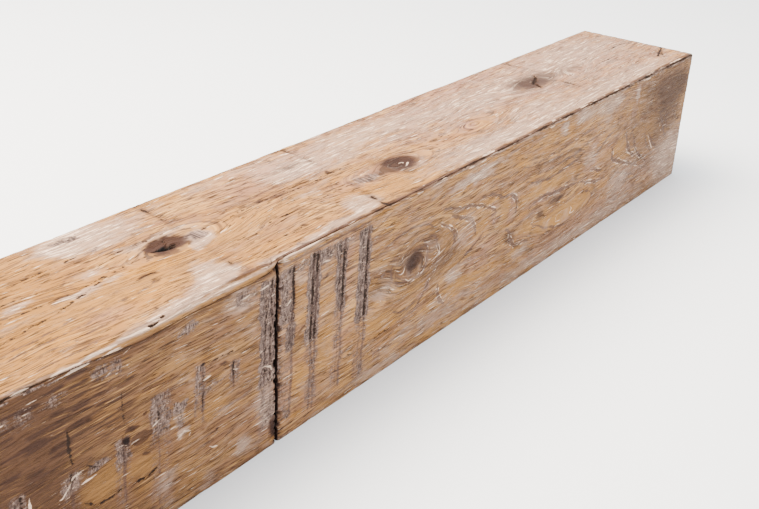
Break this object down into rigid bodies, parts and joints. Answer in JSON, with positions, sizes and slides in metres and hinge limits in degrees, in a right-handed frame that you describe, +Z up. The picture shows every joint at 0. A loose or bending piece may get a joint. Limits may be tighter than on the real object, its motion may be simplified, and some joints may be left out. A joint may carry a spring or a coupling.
{
  "type": "box beam",
  "caption": "Hollow timber box beam of weathered boards mitred along the arrises, open below and at its ends, made to cover a cleat on a ceiling or wall.",
  "frame": {"origin": "middle of the footprint of the lying beam, at floor level", "axes": "+X along the beam to its right end, +Z up through the top board, and the face with the butt joint and saw marks looks to -Y"},
  "size_m": [1.0504, 0.152, 0.16],
  "materials": {
    "top_wood": "planed old oak, wire brushed, rubbed with thin white wash, matt",
    "front_wood": "weathered old oak, brushed, with grey saw marks and traces of white wash, matt",
    "back_wood": "weathered old oak, brushed, matt"
  },
  "bodies": {
    "root": {"top_board": "top_wood", "front_board_right": "front_wood", "front_board_left": "front_wood", "back_board": "back_wood"}
  },
  "joints": []
}
